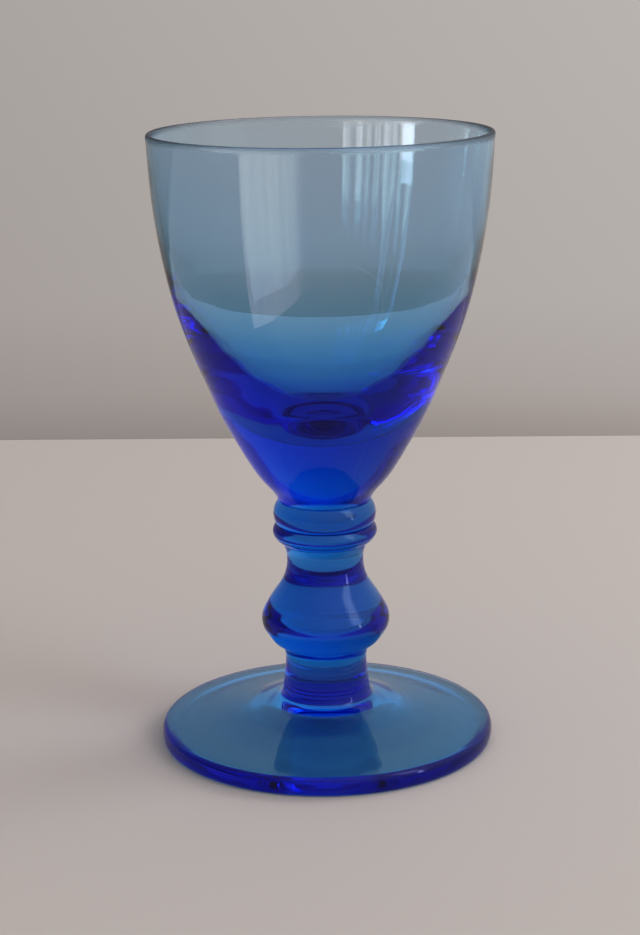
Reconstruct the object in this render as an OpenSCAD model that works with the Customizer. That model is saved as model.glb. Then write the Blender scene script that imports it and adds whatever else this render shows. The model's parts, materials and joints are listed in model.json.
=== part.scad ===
// Stemmed cordial glass in cobalt-blue glass.
// Five gathers of glass, joined hot from the bowl down: bowl, two collar rings
// (mereses), baluster stem and foot. Every piece is a body of revolution about Z.
// Origin: centre of the resting plane. +Z up. Millimetres.

/* [Overall] */
// Height from the resting plane to the lip
total_height = 100; // [80:0.5:120]
// Outside diameter of the bowl at the lip
rim_diameter = 54.4; // [44:0.2:66]
// Outside diameter of the foot
foot_diameter = 54.8; // [44:0.2:68]

/* [Bowl] */
// Height of the seat where the bowl is joined to the collar
bowl_seat_height = 40.7; // [38:0.1:46]
// Diameter of the bowl's seat
bowl_seat_diameter = 14.9; // [10:0.1:20]
// How far the bowl's domed bottom sinks into the upper ring
bowl_dome = 0.6; // [0:0.1:1.5]
// Wall thickness at the lip
lip_wall = 0.85; // [0.6:0.05:2]
// Thickness of the solid glass under the hollow
bowl_floor = 12.7; // [6:0.1:16]

/* [Collar] */
// Height of the crease between the two rings
ring_crease_height = 36.7; // [35:0.1:40]
// Diameter at the crease between the two rings
ring_crease_diameter = 15.7; // [12:0.1:18]
// Largest diameter of the upper ring
upper_ring_diameter = 16.7; // [14:0.1:22]
// Largest diameter of the lower ring
lower_ring_diameter = 16.9; // [14:0.1:22]

/* [Stem] */
// Height of the seat where the stem meets the lower ring
stem_seat_height = 33.4; // [31:0.1:35]
// Diameter of the stem at that seat
stem_seat_diameter = 13.8; // [10:0.1:16]
// Smallest diameter of the neck above the knop
neck_diameter = 12.5; // [8:0.1:16]
// Largest diameter of the baluster knop
knop_diameter = 21.0; // [16:0.1:28]
// Height of the knop's widest point
knop_height = 20.5; // [18:0.1:24]
// Diameter of the ankle, where the stem meets the foot
ankle_diameter = 13.3; // [9:0.1:16]
// Height of the ankle
ankle_height = 13.3; // [10:0.1:15]
// How far the stem's domed end sinks into the foot
stem_dome = 0.5; // [0:0.1:1.5]

/* [Foot] */
// Height of the foot's top surface at its edge
foot_edge = 3.1; // [2:0.1:5]
// Diameter of the raised boss where the flare meets the disc
boss_diameter = 23.4; // [16:0.2:30]
// Height of the foot's top surface at the boss
boss_height = 5.85; // [4:0.05:8]
// Width of the flat ring that the foot rests on
rest_ring = 1.8; // [1:0.1:10]
// Depth of the hollow under the foot at its centre
kick = 3.7; // [0:0.1:4.5]

/* [Hidden] */
$fn = 160;
blue = [0.06, 0.22, 0.62, 0.55];
rim_r = rim_diameter / 2;
foot_r = foot_diameter / 2;
seat_r = bowl_seat_diameter / 2;
crease_r = ring_crease_diameter / 2;
stem_r = stem_seat_diameter / 2;
ankle_r = ankle_diameter / 2;
boss_r = boss_diameter / 2;
hollow_z = bowl_seat_height + bowl_floor;

// Smooth curve through a list of [radius, height] points, n steps a span.
function bend(a, b, c, d, t) =
    0.5 * (2 * b + (c - a) * t + (2 * a - 5 * b + 4 * c - d) * t * t + (3 * b - a - 3 * c + d) * t * t * t);
function smooth(p, n = 3) = [
    for (i = [0:len(p) - 2], j = [0:n - 1])
        bend(p[max(i - 1, 0)], p[i], p[i + 1], p[min(i + 2, len(p) - 1)], j / n),
    p[len(p) - 1]
];

// Shallow dome of radius r that sags s below height z, from the axis outwards.
function dome(r, z, s, n = 6) = [
    for (i = [0:n]) let (x = r * i / n) [x, z - s * (1 - pow(x / r, 2))]
];

// Outside of the bowl: [share of the lip radius, share of the height above the seat].
bowl_shape = [
    [0.2912, 0.0153], [0.3180, 0.0323], [0.3676, 0.0577], [0.4096, 0.0832], [0.4559, 0.1171],
    [0.4990, 0.1511], [0.5600, 0.2020], [0.6165, 0.2530], [0.6780, 0.3209], [0.7400, 0.3888],
    [0.7985, 0.4567], [0.8482, 0.5246], [0.8886, 0.5925], [0.9206, 0.6604], [0.9474, 0.7284],
    [0.9688, 0.7963], [0.9838, 0.8642], [0.9934, 0.9321], [1.0000, 0.9915]
];
bowl_height = total_height - bowl_seat_height;
bowl_out = concat(
    [[seat_r, bowl_seat_height]],
    [for (p = bowl_shape) [p[0] * rim_r, bowl_seat_height + p[1] * bowl_height]]
);

// Hollow of the bowl: [share of the inside lip radius, share of the hollow's depth].
hollow_shape = [
    [0.0000, 0.0000], [0.0873, 0.0043], [0.1708, 0.0150], [0.2657, 0.0365], [0.3378, 0.0622],
    [0.4288, 0.1030], [0.5351, 0.1631], [0.6281, 0.2275], [0.7059, 0.2918], [0.7609, 0.3455],
    [0.8083, 0.3991], [0.8463, 0.4528], [0.8748, 0.5064], [0.9040, 0.5708], [0.9362, 0.6567],
    [0.9609, 0.7425], [0.9791, 0.8283], [0.9920, 0.9142], [1.0000, 0.9893]
];
hollow_in = [for (p = hollow_shape)
    [p[0] * (rim_r - lip_wall), hollow_z + p[1] * (total_height - hollow_z)]];

// Rounded lip: half circle between the inside and the outside wall.
lip = [for (a = [22.5:22.5:157.5])
    [rim_r - lip_wall / 2 + lip_wall / 2 * cos(a), total_height - lip_wall / 2 + lip_wall / 2 * sin(a)]];

function rev(p) = [for (i = [len(p) - 1:-1:0]) p[i]];

// Blown bowl with a thick bottom and a domed underside.
module bowl() color(blue)
    rotate_extrude() polygon(concat(
        dome(seat_r, bowl_seat_height, bowl_dome),
        [for (i = [1:len(smooth(bowl_out)) - 1]) smooth(bowl_out)[i]],
        lip,
        rev(smooth(hollow_in))
    ));

// Collar ring between heights z0 and z1, from radius r0 below to r1 above, bulging to r.
function ring_side(r0, z0, r1, z1, r, n = 12) = [
    for (i = [1:n - 1]) let (t = i / n, s = sin(180 * t))
        [r0 + (r1 - r0) * t + (r - (r0 + r1) / 2) * pow(s, 0.8), z0 + (z1 - z0) * t]
];

// Upper ring, moulded round the bowl's dome.
module upper_merese() color(blue)
    rotate_extrude() polygon(concat(
        [[0, ring_crease_height], [crease_r, ring_crease_height]],
        ring_side(crease_r, ring_crease_height, seat_r, bowl_seat_height, upper_ring_diameter / 2),
        rev(dome(seat_r, bowl_seat_height, bowl_dome))
    ));

// Lower ring, under the upper one.
module lower_merese() color(blue)
    rotate_extrude() polygon(concat(
        [[0, stem_seat_height], [stem_r, stem_seat_height]],
        ring_side(stem_r, stem_seat_height, crease_r, ring_crease_height, lower_ring_diameter / 2),
        [[crease_r, ring_crease_height], [0, ring_crease_height]]
    ));

// Side of the stem: ankle, underside of the knop, knop, shoulder, neck.
knop_r = knop_diameter / 2;
neck_r = neck_diameter / 2;
stem_side = [
    [ankle_r, ankle_height], [ankle_r + 0.04, ankle_height + 0.9], [ankle_r + 0.25, ankle_height + 1.8],
    [ankle_r + 0.95, ankle_height + 2.7], [ankle_r + 2.05, knop_height - 3.6],
    [knop_r - 0.90, knop_height - 2.4], [knop_r - 0.22, knop_height - 1.2], [knop_r, knop_height],
    [knop_r - 0.20, knop_height + 1.2], [knop_r - 0.85, knop_height + 2.5],
    [knop_r - 1.80, knop_height + 4.1], [neck_r + 1.15, knop_height + 6.0],
    [neck_r + 0.50, knop_height + 7.3], [neck_r + 0.12, knop_height + 8.7], [neck_r, knop_height + 10.1],
    [neck_r + 0.12, knop_height + 11.5], [stem_r, stem_seat_height]
];

// Solid stem: neck, baluster knop and ankle, with a domed lower end.
module baluster_stem() color(blue)
    rotate_extrude() polygon(concat(
        dome(ankle_r, ankle_height, stem_dome),
        [for (i = [1:len(smooth(stem_side)) - 1]) smooth(stem_side)[i]],
        [[0, stem_seat_height]]
    ));

// Top of the foot, from the edge up the flare to the ankle.
foot_top = [
    [foot_r, foot_edge * 0.48], [foot_r - 0.10, foot_edge * 0.74], [foot_r - 0.45, foot_edge * 0.93],
    [foot_r - 1.10, foot_edge * 1.03], [foot_r - 3.0, foot_edge + 0.40],
    [foot_r - 7.5, foot_edge + 0.95], [boss_r + 3.6, boss_height - 1.00], [boss_r + 1.5, boss_height - 0.45],
    [boss_r, boss_height], [boss_r - 1.5, boss_height + 0.35], [boss_r - 2.7, boss_height + 0.70],
    [ankle_r + 1.45, boss_height + 1.10], [ankle_r + 0.85, boss_height + 1.65],
    [ankle_r + 0.55, boss_height + 2.45], [ankle_r + 0.40, boss_height + 3.45],
    [ankle_r + 0.27, ankle_height - 2.90], [ankle_r + 0.17, ankle_height - 1.90],
    [ankle_r + 0.05, ankle_height - 0.80], [ankle_r, ankle_height]
];

// Underside of the foot: [share of the hollow's radius, share of its depth].
foot_under_r = foot_r - 1.0 - rest_ring;
foot_under = [
    [0, 1.0], [0.1423, 0.989], [0.2846, 0.892], [0.4268, 0.662], [0.6098, 0.384], [0.7927, 0.216],
    [0.9187, 0.089], [1, 0]
];

// Round foot: narrow resting ring, coned hollow below, rounded edge, flare to the ankle.
module foot() color(blue)
    rotate_extrude() polygon(concat(
        [for (q = smooth(foot_under)) [q[0] * foot_under_r, q[1] * kick]],
        [[foot_r - 1.0, 0], [foot_r - 0.45, 0.14], [foot_r - 0.25, 0.30], [foot_r - 0.13, 0.5],
            [foot_r - 0.04, 0.95]],
        smooth(foot_top),
        rev([for (i = [0:5]) dome(ankle_r, ankle_height, stem_dome)[i]])
    ));

bowl();
upper_merese();
lower_merese();
baluster_stem();
foot();
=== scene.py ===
import json
import math
import bpy
from mathutils import Vector, Matrix

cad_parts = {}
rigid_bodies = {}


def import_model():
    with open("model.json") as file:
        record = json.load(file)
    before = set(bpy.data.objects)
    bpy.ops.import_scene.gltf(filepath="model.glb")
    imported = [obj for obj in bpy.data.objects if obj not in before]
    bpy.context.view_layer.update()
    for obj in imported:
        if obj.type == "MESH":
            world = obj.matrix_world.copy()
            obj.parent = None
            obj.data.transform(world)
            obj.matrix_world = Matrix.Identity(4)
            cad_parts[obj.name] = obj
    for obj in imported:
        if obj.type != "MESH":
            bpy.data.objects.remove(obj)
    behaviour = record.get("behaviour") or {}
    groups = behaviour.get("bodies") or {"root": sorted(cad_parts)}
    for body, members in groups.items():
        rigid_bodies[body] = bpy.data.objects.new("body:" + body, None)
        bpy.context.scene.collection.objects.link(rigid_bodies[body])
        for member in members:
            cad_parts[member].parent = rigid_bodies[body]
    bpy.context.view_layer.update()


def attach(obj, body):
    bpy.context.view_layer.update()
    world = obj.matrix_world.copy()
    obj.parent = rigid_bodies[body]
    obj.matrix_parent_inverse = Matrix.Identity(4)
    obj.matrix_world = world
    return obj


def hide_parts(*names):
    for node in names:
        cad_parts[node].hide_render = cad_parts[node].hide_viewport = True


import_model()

# ---------------------------------------------------------------- profiles
# Every list is [radius, height] in millimetres, in the CAD model's frame.
H, RIM, FOOT = 100.0, 27.2, 27.4
SEAT_Z, SEAT_R, DOME = 40.7, 7.45, 0.6
LIP, FLOOR_T = 0.85, 12.7
CREASE_Z, CREASE_R = 36.7, 7.85
UPPER_R, LOWER_R = 8.35, 8.45
STEM_Z, STEM_R, NECK_R = 33.4, 6.9, 6.25
KNOP_R, KNOP_Z = 10.5, 20.5
ANKLE_Z, ANKLE_R, STEM_DOME = 13.3, 6.65, 0.5
EDGE, BOSS_R, BOSS_Z, REST, KICK = 3.1, 11.7, 5.85, 1.8, 3.7
HOLLOW_Z = SEAT_Z + FLOOR_T
GAP = 0.006  # half the space left between two fused faces, mm

BOWL_SHAPE = [
    (0.2912, 0.0153), (0.3180, 0.0323), (0.3676, 0.0577), (0.4096, 0.0832), (0.4559, 0.1171),
    (0.4990, 0.1511), (0.5600, 0.2020), (0.6165, 0.2530), (0.6780, 0.3209), (0.7400, 0.3888),
    (0.7985, 0.4567), (0.8482, 0.5246), (0.8886, 0.5925), (0.9206, 0.6604), (0.9474, 0.7284),
    (0.9688, 0.7963), (0.9838, 0.8642), (0.9934, 0.9321), (1.0000, 0.9915),
]
HOLLOW_SHAPE = [
    (0.0000, 0.0000), (0.0873, 0.0043), (0.1708, 0.0150), (0.2657, 0.0365), (0.3378, 0.0622),
    (0.4288, 0.1030), (0.5351, 0.1631), (0.6281, 0.2275), (0.7059, 0.2918), (0.7609, 0.3455),
    (0.8083, 0.3991), (0.8463, 0.4528), (0.8748, 0.5064), (0.9040, 0.5708), (0.9362, 0.6567),
    (0.9609, 0.7425), (0.9791, 0.8283), (0.9920, 0.9142), (1.0000, 0.9893),
]


def smooth(p, n=8):
    """Catmull-Rom curve through the points, n steps a span, as in the CAD model."""
    out = []
    for i in range(len(p) - 1):
        a, b, c, d = p[max(i - 1, 0)], p[i], p[i + 1], p[min(i + 2, len(p) - 1)]
        for j in range(n):
            t = j / n
            out.append(tuple(
                0.5 * (2 * b[k] + (c[k] - a[k]) * t + (2 * a[k] - 5 * b[k] + 4 * c[k] - d[k]) * t * t
                       + (3 * b[k] - a[k] - 3 * c[k] + d[k]) * t ** 3) for k in (0, 1)))
    out.append(tuple(p[-1]))
    return out


def dome(r, z, s, n=14):
    return [(r * i / n, z - s * (1 - (i / n) ** 2)) for i in range(n + 1)]


def ring_side(r0, z0, r1, z1, r, n=28):
    out = []
    for i in range(1, n):
        t = i / n
        out.append((r0 + (r1 - r0) * t + (r - (r0 + r1) / 2) * math.sin(math.pi * t) ** 0.8,
                    z0 + (z1 - z0) * t))
    return out


def lowered(p, dz):
    return [(r, z + dz) for r, z in p]


def bowl_profile():
    out = [(SEAT_R, SEAT_Z + GAP)] + [(a * RIM, SEAT_Z + b * (H - SEAT_Z)) for a, b in BOWL_SHAPE]
    hollow = [(a * (RIM - LIP), HOLLOW_Z + b * (H - HOLLOW_Z)) for a, b in HOLLOW_SHAPE]
    lip = [(RIM - LIP / 2 + LIP / 2 * math.cos(math.radians(a)),
            H - LIP / 2 + LIP / 2 * math.sin(math.radians(a))) for a in range(12, 169, 12)]
    cap = lowered(dome(SEAT_R, SEAT_Z, DOME), GAP)
    side = smooth(out)[1:] + lip + smooth(hollow)[::-1]
    return [("seam", cap), ("glass", side)]


def upper_profile():
    side = ring_side(CREASE_R, CREASE_Z, SEAT_R, SEAT_Z, UPPER_R)
    return [("seam", [(CREASE_R * i / 6, CREASE_Z + GAP) for i in range(7)]),
            ("glass", side + [(SEAT_R, SEAT_Z - GAP)]),
            ("seam", lowered(dome(SEAT_R, SEAT_Z, DOME), -GAP)[::-1][1:])]


def lower_profile():
    side = ring_side(STEM_R, STEM_Z, CREASE_R, CREASE_Z, LOWER_R)
    return [("seam", [(STEM_R * i / 6, STEM_Z + GAP) for i in range(7)]),
            ("glass", side + [(CREASE_R, CREASE_Z - GAP)]),
            ("seam", [(CREASE_R * i / 6, CREASE_Z - GAP) for i in range(5, -1, -1)])]


def stem_profile():
    side = [
        (ANKLE_R, ANKLE_Z + GAP), (ANKLE_R + 0.04, ANKLE_Z + 0.9), (ANKLE_R + 0.25, ANKLE_Z + 1.8),
        (ANKLE_R + 0.95, ANKLE_Z + 2.7), (ANKLE_R + 2.05, KNOP_Z - 3.6),
        (KNOP_R - 0.90, KNOP_Z - 2.4), (KNOP_R - 0.22, KNOP_Z - 1.2), (KNOP_R, KNOP_Z),
        (KNOP_R - 0.20, KNOP_Z + 1.2), (KNOP_R - 0.85, KNOP_Z + 2.5),
        (KNOP_R - 1.80, KNOP_Z + 4.1), (NECK_R + 1.15, KNOP_Z + 6.0),
        (NECK_R + 0.50, KNOP_Z + 7.3), (NECK_R + 0.12, KNOP_Z + 8.7), (NECK_R, KNOP_Z + 10.1),
        (NECK_R + 0.12, KNOP_Z + 11.5), (STEM_R, STEM_Z - GAP),
    ]
    return [("seam", lowered(dome(ANKLE_R, ANKLE_Z, STEM_DOME), GAP)),
            ("glass", smooth(side)[1:]),
            ("seam", [(STEM_R * i / 6, STEM_Z - GAP) for i in range(5, -1, -1)])]


def foot_profile():
    top = [
        (FOOT, EDGE * 0.48), (FOOT - 0.10, EDGE * 0.74), (FOOT - 0.45, EDGE * 0.93),
        (FOOT - 1.10, EDGE * 1.03), (FOOT - 3.0, EDGE + 0.40),
        (FOOT - 7.5, EDGE + 0.95), (BOSS_R + 3.6, BOSS_Z - 1.00), (BOSS_R + 1.5, BOSS_Z - 0.45),
        (BOSS_R, BOSS_Z), (BOSS_R - 1.5, BOSS_Z + 0.35), (BOSS_R - 2.7, BOSS_Z + 0.70),
        (ANKLE_R + 1.45, BOSS_Z + 1.10), (ANKLE_R + 0.85, BOSS_Z + 1.65), (ANKLE_R + 0.55, BOSS_Z + 2.45),
        (ANKLE_R + 0.40, BOSS_Z + 3.45), (ANKLE_R + 0.27, ANKLE_Z - 2.90), (ANKLE_R + 0.17, ANKLE_Z - 1.90),
        (ANKLE_R + 0.05, ANKLE_Z - 0.80), (ANKLE_R, ANKLE_Z - GAP),
    ]
    under_r = FOOT - 1.0 - REST
    under = [(a * under_r, KICK * b) for a, b in smooth([
        (0, 1.0), (0.1423, 0.989), (0.2846, 0.892), (0.4268, 0.662), (0.6098, 0.384), (0.7927, 0.216),
        (0.9187, 0.089), (1, 0)], 6)]
    flat = [(under_r + REST * i / 4, 0.0) for i in range(1, 5)]
    edge = [(FOOT - 0.70, 0.05), (FOOT - 0.45, 0.14), (FOOT - 0.25, 0.30), (FOOT - 0.13, 0.5),
            (FOOT - 0.04, 0.95)]
    return [("glass", under + flat + edge + smooth(top)),
            ("seam", lowered(dome(ANKLE_R, ANKLE_Z, STEM_DOME), -GAP)[::-1][1:])]


# ---------------------------------------------------------------- meshes
SEGMENTS = 256


def wave(theta, r, z):
    """Slow hand-worked unevenness of the radius, in mm. Always the same."""
    return (0.030 * math.sin(2 * theta + 0.7) + 0.016 * math.sin(3 * theta + 0.11 * z + 2.1)
            + 0.010 * math.sin(5 * theta - 0.16 * z + 0.4) + 0.012 * math.sin(0.21 * z + theta + 1.3))


def revolve(name, runs):
    """A closed surface of revolution from runs of profile points, first and last on the axis."""
    pts, kinds = [], []
    for kind, run in runs:
        for p in run:
            if pts and math.dist(pts[-1], p) < 1e-6:
                continue
            pts.append(p)
            kinds.append(kind)
    verts, rings = [], []
    for r, z in pts:
        if r < 1e-6:
            rings.append([len(verts)])
            verts.append((0, 0, z / 1000))
            continue
        ring = []
        for s in range(SEGMENTS):
            a = 2 * math.pi * s / SEGMENTS
            rr = r + wave(a, r, z) * min(r / 10, 1)
            ring.append(len(verts))
            verts.append((rr * math.cos(a) / 1000, rr * math.sin(a) / 1000, z / 1000))
        rings.append(ring)
    faces, seam = [], []
    for i in range(len(rings) - 1):
        lo, hi = rings[i], rings[i + 1]
        # a band belongs to a seam when its later ring does, or when it opens a first seam run
        is_seam = kinds[i + 1] == "seam" or (kinds[i] == "seam" and i + 1 < len(kinds) and kinds[i + 1] == "seam")
        for s in range(SEGMENTS):
            t = (s + 1) % SEGMENTS
            if len(lo) == 1:
                f = (lo[0], hi[t], hi[s])
            elif len(hi) == 1:
                f = (lo[s], lo[t], hi[0])
            else:
                f = (lo[s], lo[t], hi[t], hi[s])
            faces.append(f)
            seam.append(1.0 if is_seam else 0.0)
    mesh = bpy.data.meshes.new(name)
    mesh.from_pydata(verts, [], faces)
    mesh.update()
    att = mesh.attributes.new("seam", "FLOAT", "FACE")
    att.data.foreach_set("value", seam)
    mesh.shade_smooth()
    obj = bpy.data.objects.new(name, mesh)
    bpy.context.scene.collection.objects.link(obj)
    return obj


# ---------------------------------------------------------------- node helpers
def math_node(nt, op, a, b=None, c=None):
    n = nt.nodes.new("ShaderNodeMath")
    n.operation = op
    for i, v in enumerate((a, b, c)):
        if v is None:
            continue
        if isinstance(v, (int, float)):
            n.inputs[i].default_value = v
        else:
            nt.links.new(v, n.inputs[i])
    return n.outputs[0]


def step_up(nt, x, lo, hi):
    n = nt.nodes.new("ShaderNodeMapRange")
    n.interpolation_type = "SMOOTHSTEP"
    n.inputs["From Min"].default_value, n.inputs["From Max"].default_value = lo, hi
    nt.links.new(x, n.inputs["Value"])
    return n.outputs["Result"]


def noise(nt, x, scale, detail=2.0, seed=0.0):
    """Uneven value along one line."""
    n = nt.nodes.new("ShaderNodeTexNoise")
    n.noise_dimensions = "1D"
    n.inputs["Scale"].default_value = scale
    n.inputs["Detail"].default_value = detail
    nt.links.new(math_node(nt, "ADD", x, seed), n.inputs["W"])
    return n.outputs[0]


def noise3(nt, vec, scale, detail=2.0, stretch=(1, 1, 1), offset=(0, 0, 0)):
    """Uneven value in space; stretch below 1 draws the pattern out along that axis."""
    m = nt.nodes.new("ShaderNodeMapping")
    m.inputs["Scale"].default_value = stretch
    m.inputs["Location"].default_value = offset
    nt.links.new(vec, m.inputs["Vector"])
    n = nt.nodes.new("ShaderNodeTexNoise")
    n.inputs["Scale"].default_value = scale
    n.inputs["Detail"].default_value = detail
    nt.links.new(m.outputs[0], n.inputs["Vector"])
    return n.outputs[0]


# ---------------------------------------------------------------- glass
CORD, SWELL, POLISH, LIP_ROUGH = 0.000012, 2.5, 0.012, 0.35


def glass_material(name, tint):
    mat = bpy.data.materials.new(name)
    mat.use_nodes = True
    nt = mat.node_tree
    nt.nodes.clear()
    out = nt.nodes.new("ShaderNodeOutputMaterial")
    bsdf = nt.nodes.new("ShaderNodeBsdfPrincipled")
    bsdf.inputs["Base Color"].default_value = tint
    bsdf.inputs["Transmission Weight"].default_value = 1.0
    bsdf.inputs["IOR"].default_value = 1.5
    nt.links.new(bsdf.outputs["BSDF"], out.inputs["Surface"])
    att = nt.nodes.new("ShaderNodeAttribute")
    att.attribute_name = "seam"
    ior = nt.nodes.new("ShaderNodeMapRange")
    ior.inputs["To Min"].default_value = 1.5
    ior.inputs["To Max"].default_value = 1.0
    nt.links.new(att.outputs["Fac"], ior.inputs["Value"])
    nt.links.new(ior.outputs["Result"], bsdf.inputs["IOR"])
    # hand-worked surface: long drawn striations and a slower swell, a few hundredths of a millimetre
    place = nt.nodes.new("ShaderNodeTexCoord").outputs["Object"]
    cord = noise3(nt, place, 260.0, 2.0, (1, 1, 0.07))
    swell = noise3(nt, place, 85.0, 1.0, (1, 1, 0.6), (0.3, 0.1, 0.7))
    height = math_node(nt, "MULTIPLY_ADD", swell, SWELL, cord)
    bump = nt.nodes.new("ShaderNodeBump")
    bump.inputs["Strength"].default_value = 1.0
    bump.inputs["Distance"].default_value = CORD
    nt.links.new(height, bump.inputs["Height"])
    nt.links.new(bump.outputs["Normal"], bsdf.inputs["Normal"])
    # polish: faint smears, a worn lip and a scuffed resting ring
    sep = nt.nodes.new("ShaderNodeSeparateXYZ")
    nt.links.new(place, sep.inputs[0])
    z = sep.outputs["Z"]
    smear = step_up(nt, noise3(nt, place, 42.0, 4.0, (1, 1, 0.55), (1.7, 0.2, 0.4)), 0.52, 0.80)
    speck = noise3(nt, place, 900.0, 2.0)
    lip = math_node(nt, "MULTIPLY", step_up(nt, z, 0.0985, 0.0997), math_node(nt, "MULTIPLY_ADD", speck, 0.10, LIP_ROUGH))
    base = math_node(nt, "SUBTRACT", 1.0, step_up(nt, z, 0.00005, 0.0004))
    base = math_node(nt, "MULTIPLY", base, math_node(nt, "MULTIPLY_ADD", speck, 0.24, 0.02))
    rough = math_node(nt, "MULTIPLY_ADD", smear, 0.045, POLISH)
    rough = math_node(nt, "MAXIMUM", rough, math_node(nt, "MAXIMUM", lip, base))
    rough = math_node(nt, "MULTIPLY", rough, math_node(nt, "SUBTRACT", 1.0, att.outputs["Fac"]))
    nt.links.new(rough, bsdf.inputs["Roughness"])
    vol = nt.nodes.new("ShaderNodeVolumeAbsorption")
    vol.inputs["Color"].default_value = (0.0536, 0.6857, 0.9571, 1)
    vol.inputs["Density"].default_value = 280.0
    nt.links.new(vol.outputs["Volume"], out.inputs["Volume"])
    return mat


# painted light: the foot's surface is left without the glass's tint, a lighter copy of the same glass that stands in
# for the light coming back up through the foot
glass = glass_material("cobalt_glass", (0.95, 0.935, 0.965, 1))
foot_glass_painted_lighter = glass_material("cobalt_glass_foot_painted_lighter", (1, 1, 1, 1))
for node, runs in (("bowl", bowl_profile()), ("upper_merese", upper_profile()),
                   ("lower_merese", lower_profile()), ("baluster_stem", stem_profile()),
                   ("foot", foot_profile())):
    piece = revolve(node + "_glass", runs)
    # the foot takes the lighter glass copy, painted light in place of light passing through it
    piece.data.materials.append(foot_glass_painted_lighter if node == "foot" else glass)
    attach(piece, "root")
    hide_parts(node)

# ---------------------------------------------------------------- floor
def floor_material():
    mat = bpy.data.materials.new("table")
    mat.use_nodes = True
    b = mat.node_tree.nodes["Principled BSDF"]
    b.inputs["Base Color"].default_value = (0.575, 0.520, 0.497, 1)
    b.inputs["Roughness"].default_value = 0.75
    return mat


def table(back=0.213, front=0.9, side=0.9, drop=0.03, bevel=0.004):
    """A wide pale table top whose rounded back edge makes the horizon."""
    prof = [(-front, 0.0), (-0.2, 0.0), (back - bevel, 0.0)]
    prof += [(back - bevel + bevel * math.sin(math.radians(a)), -bevel * (1 - math.cos(math.radians(a))))
             for a in range(15, 91, 15)]
    prof += [(back, -drop)]
    verts = [(x, y, z) for y, z in prof for x in (-side, side)]
    faces = [(2 * i, 2 * i + 1, 2 * i + 3, 2 * i + 2) for i in range(len(prof) - 1)]
    mesh = bpy.data.meshes.new("table")
    mesh.from_pydata(verts, [], faces)
    mesh.update()
    o = bpy.data.objects.new("table", mesh)
    bpy.context.scene.collection.objects.link(o)
    o.location = (0, 0, -0.00003)
    o.rotation_euler = (0, 0, math.radians(-1.1))
    o.data.materials.append(floor_material())


table()

# ---------------------------------------------------------------- light
world = bpy.data.worlds.new("room")
bpy.context.scene.world = world
world.use_nodes = True
wn = world.node_tree
wn.nodes.clear()
wout = wn.nodes.new("ShaderNodeOutputWorld")
bg = wn.nodes.new("ShaderNodeBackground")
wn.links.new(bg.outputs[0], wout.inputs[0])
tc = wn.nodes.new("ShaderNodeTexCoord")
sep = wn.nodes.new("ShaderNodeSeparateXYZ")
wn.links.new(tc.outputs["Generated"], sep.inputs[0])
ramp_in = wn.nodes.new("ShaderNodeMapRange")
ramp_in.inputs["From Min"].default_value = -1
wn.links.new(sep.outputs["Z"], ramp_in.inputs["Value"])
ramp = wn.nodes.new("ShaderNodeValToRGB")
wn.links.new(ramp_in.outputs["Result"], ramp.inputs[0])
els = ramp.color_ramp.elements


def stop(z, rgb):
    e = els.new((z + 1) / 2)
    e.color = (rgb[0] * 1.02, rgb[1] * 1.055, rgb[2] * 1.09, 1)


els[0].position, els[0].color = 0.0, (0.40, 0.37, 0.35, 1)
els[1].position, els[1].color = 1.0, (0.80, 0.78, 0.76, 1)
stop(-0.45, (0.36, 0.33, 0.31))
stop(-0.30, (0.30, 0.27, 0.25))
stop(-0.234, (0.325, 0.288, 0.266))
stop(-0.215, (0.375, 0.335, 0.312))
stop(-0.17, (0.415, 0.375, 0.35))
stop(0.0, (0.44, 0.40, 0.375))
stop(0.5, (0.62, 0.60, 0.58))
grad = wn.nodes.new("ShaderNodeMath")
grad.operation = "MULTIPLY_ADD"
wn.links.new(sep.outputs["X"], grad.inputs[0])
grad.inputs[1].default_value = 0.5
grad.inputs[2].default_value = 1.0
# the far side of the room is dimmer higher up
behind = math_node(wn, "MULTIPLY", step_up(wn, sep.outputs["Y"], -0.1, 0.5), step_up(wn, sep.outputs["Z"], 0.1, 0.5))
dim = math_node(wn, "MULTIPLY_ADD", behind, -0.12, 1.0)
wn.links.new(ramp.outputs["Color"], bg.inputs["Color"])
wn.links.new(math_node(wn, "MULTIPLY", grad.outputs[0], dim), bg.inputs["Strength"])


def linked(name, objects):
    """A collection of the things one light falls on."""
    coll = bpy.data.collections.new(name)
    for o in objects:
        coll.objects.link(o)
    return coll


def panel(name, az, el, dist, w, h, radiance, color=(1, 1, 1), aim=(0, 0, 0.05), falls_on=None, pattern=None):
    """A soft panel light seen from the glass at azimuth az (right of the camera) and elevation el."""
    a, e = math.radians(az), math.radians(el)
    aim = Vector(aim)
    pos = Vector((math.sin(a) * math.cos(e), -math.cos(a) * math.cos(e), math.sin(e))) * dist + aim
    data = bpy.data.lights.new(name, "AREA")
    data.shape = "RECTANGLE"
    data.size, data.size_y = w, h
    data.energy = radiance * math.pi * w * h
    data.color = color
    if pattern:
        data.use_nodes = True
        pattern(data.node_tree)
    o = bpy.data.objects.new(name, data)
    o.location = pos
    o.rotation_mode = "QUATERNION"
    o.rotation_quaternion = (pos - aim).to_track_quat("Z", "Y")
    o.visible_camera = False
    bpy.context.scene.collection.objects.link(o)
    if falls_on:
        o.light_linking.receiver_collection = falls_on
    return o


def light_uv(nt):
    geo = nt.nodes.new("ShaderNodeNewGeometry")
    uv = nt.nodes.new("ShaderNodeSeparateXYZ")
    nt.links.new(geo.outputs["Parametric"], uv.inputs[0])
    return uv.outputs[0], uv.outputs[1]


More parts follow.
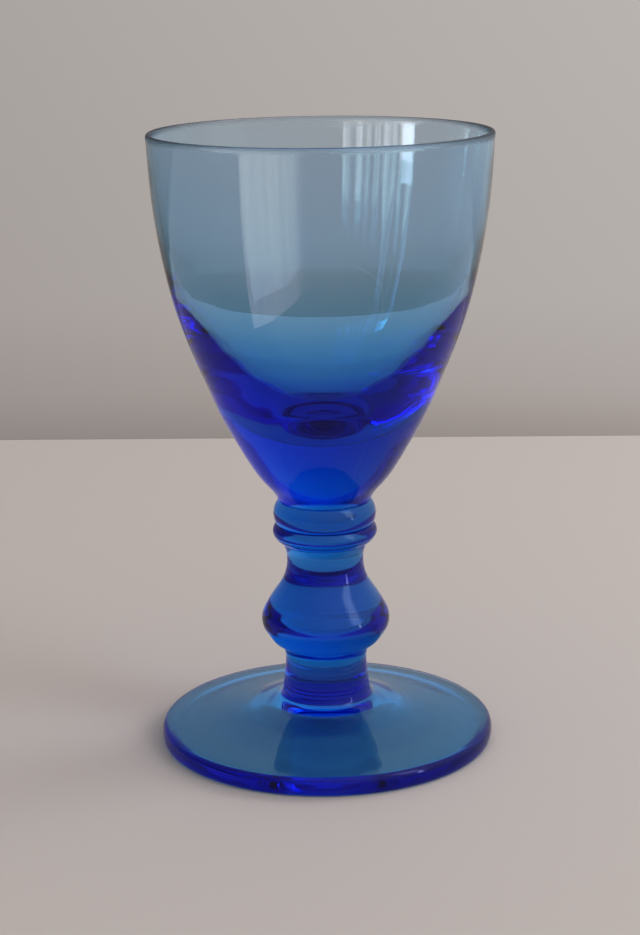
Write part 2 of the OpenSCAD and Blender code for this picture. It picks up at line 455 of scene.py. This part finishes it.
def curtain(nt):
    """A window behind thin curtains: uneven pale folds, and one bare bright strip low at its outer side."""
    u, v = light_uv(nt)
    folds = step_up(nt, noise(nt, u, 11.0, 3.0, 3.1), 0.30, 0.74)
    hem = math_node(nt, "MULTIPLY_ADD", noise(nt, u, 9.0, 2.0, 7.7), 0.70, 0.45)
    folds = math_node(nt, "MULTIPLY", folds, step_up(nt, math_node(nt, "SUBTRACT", hem, v), 0.0, 0.14))
    strip = math_node(nt, "MULTIPLY", step_up(nt, math_node(nt, "SUBTRACT", 0.19, u), 0.0, 0.008),
                      step_up(nt, math_node(nt, "SUBTRACT", 0.405, v), 0.0, 0.02))
    nt.links.new(math_node(nt, "MULTIPLY_ADD", strip, 4.2, math_node(nt, "MULTIPLY", folds, 1.4)), nt.nodes["Emission"].inputs["Strength"])


def card(nt, near, far, width):
    """A pale card, even out to a certain angle round the glass from its outer edge, then fading."""
    u, v = light_uv(nt)
    angle = math_node(nt, "ARCTAN2", math_node(nt, "MULTIPLY", u, width),
                      math_node(nt, "MULTIPLY_ADD", v, far - near, near))
    fade = math_node(nt, "SUBTRACT", 1.0, step_up(nt, angle, 0.48, 0.80))
    folds = math_node(nt, "MULTIPLY_ADD", noise(nt, angle, 7.0, 3.0, 1.3), 1.0, 0.42)
    nt.links.new(math_node(nt, "MULTIPLY", fade, folds), nt.nodes["Emission"].inputs["Strength"])


def soft_edge(nt):
    """A panel whose light falls off softly towards its edges."""
    u, v = light_uv(nt)
    edge = None
    for x, w in ((u, 0.35), (v, 0.2)):
        m = math_node(nt, "MINIMUM", x, math_node(nt, "SUBTRACT", 1.0, x))
        m = step_up(nt, m, 0.0, w)
        edge = m if edge is None else math_node(nt, "MULTIPLY", edge, m)
    nt.links.new(edge, nt.nodes["Emission"].inputs["Strength"])


def table_card(name, az, near, far, width, radiance, falls_on):
    """A card lying on the table; its outer edge runs straight away from the glass at azimuth az."""
    a = math.radians(az)
    out, side = Vector((math.sin(a), -math.cos(a), 0)), Vector((math.cos(a), math.sin(a), 0))
    data = bpy.data.lights.new(name, "AREA")
    data.shape = "RECTANGLE"
    data.size, data.size_y = width, far - near
    data.energy = radiance * math.pi * width * (far - near)
    data.color = (1.0, 0.84, 0.84)
    data.use_nodes = True
    card(data.node_tree, near, far, width)
    o = bpy.data.objects.new(name, data)
    pos = out * ((near + far) / 2) + side * (width / 2)
    o.matrix_world = Matrix(((side.x, out.x, 0, pos.x), (side.y, out.y, 0, pos.y), (0, 0, -1, 0.002), (0, 0, 0, 1)))
    o.visible_camera = False
    bpy.context.scene.collection.objects.link(o)
    o.light_linking.receiver_collection = falls_on
    return o


parts = {o.name: o for o in bpy.context.scene.collection.objects}
bowl_only = linked("bowl_only", [parts["bowl_glass"]])
not_bowl = linked("not_bowl", [o for n, o in parts.items() if n.endswith("_glass") and n != "bowl_glass"] + [parts["table"]])
table_only = linked("table_only", [parts["table"]])
DAY = (0.92, 0.96, 1.0)
panel("window_right", 62, 34, 0.9, 0.40, 0.62, 1.7, DAY, falls_on=not_bowl, pattern=soft_edge)
panel("window_right_low", 64, 7, 0.9, 0.07, 0.30, 4.0, DAY, falls_on=not_bowl)
panel("window_left", -43, 5, 0.9, 0.917, 0.35, 3.0, (1.0, 0.95, 0.95), aim=(0.008, 0.008, 0.085), falls_on=bowl_only, pattern=curtain)
table_card("card_left", -53.5, 0.11, 0.66, 0.56, 1.9, bowl_only)
panel("fill_right", 112, 33, 0.54, 0.22, 0.22, 3.6, (1, 0.97, 0.95), aim=(0, 0, 0), falls_on=table_only)

# ---------------------------------------------------------------- camera
cam_data = bpy.data.cameras.new("camera")
cam = bpy.data.objects.new("camera", cam_data)
bpy.context.scene.collection.objects.link(cam)
bpy.context.scene.camera = cam
cam_data.sensor_width = 36
cam_data.lens = 36 * 2091 / 935
cam_data.clip_start = 0.01
pitch, roll, yaw = math.radians(14.443), math.radians(-0.70), math.radians(-0.168)
fwd = Vector((math.sin(yaw) * math.cos(pitch), math.cos(yaw) * math.cos(pitch), -math.sin(pitch)))
right = Vector((math.cos(yaw), -math.sin(yaw), 0))
up = right.cross(fwd)
r2 = right * math.cos(roll) + up * math.sin(roll)
u2 = up * math.cos(roll) - right * math.sin(roll)
cam.matrix_world = Matrix((
    (r2.x, u2.x, -fwd.x, 0.00030), (r2.y, u2.y, -fwd.y, -0.32835), (r2.z, u2.z, -fwd.z, 0.13041), (0, 0, 0, 1)))

# ---------------------------------------------------------------- render
scene = bpy.context.scene
scene.view_settings.view_transform = "Standard"
scene.view_settings.look = "None"
# a camera's own contrast: the darks are pressed down a little, the lights stay
scene.view_settings.use_curve_mapping = True
curve = scene.view_settings.curve_mapping.curves[3]
for x, y in ((0.010, 0.0038), (0.026, 0.0112), (0.095, 0.056), (0.212, 0.166), (0.305, 0.265), (0.407, 0.402), (0.61, 0.62)):
    curve.points.new(x, y)
scene.view_settings.curve_mapping.update()
scene.cycles.max_bounces = 28
scene.cycles.transmission_bounces = 28
scene.cycles.glossy_bounces = 28
scene.cycles.diffuse_bounces = 4
scene.cycles.transparent_max_bounces = 16
scene.cycles.caustics_refractive = True
scene.cycles.caustics_reflective = True
scene.cycles.sample_clamp_indirect = 8.0
scene.cycles.blur_glossy = 0.3
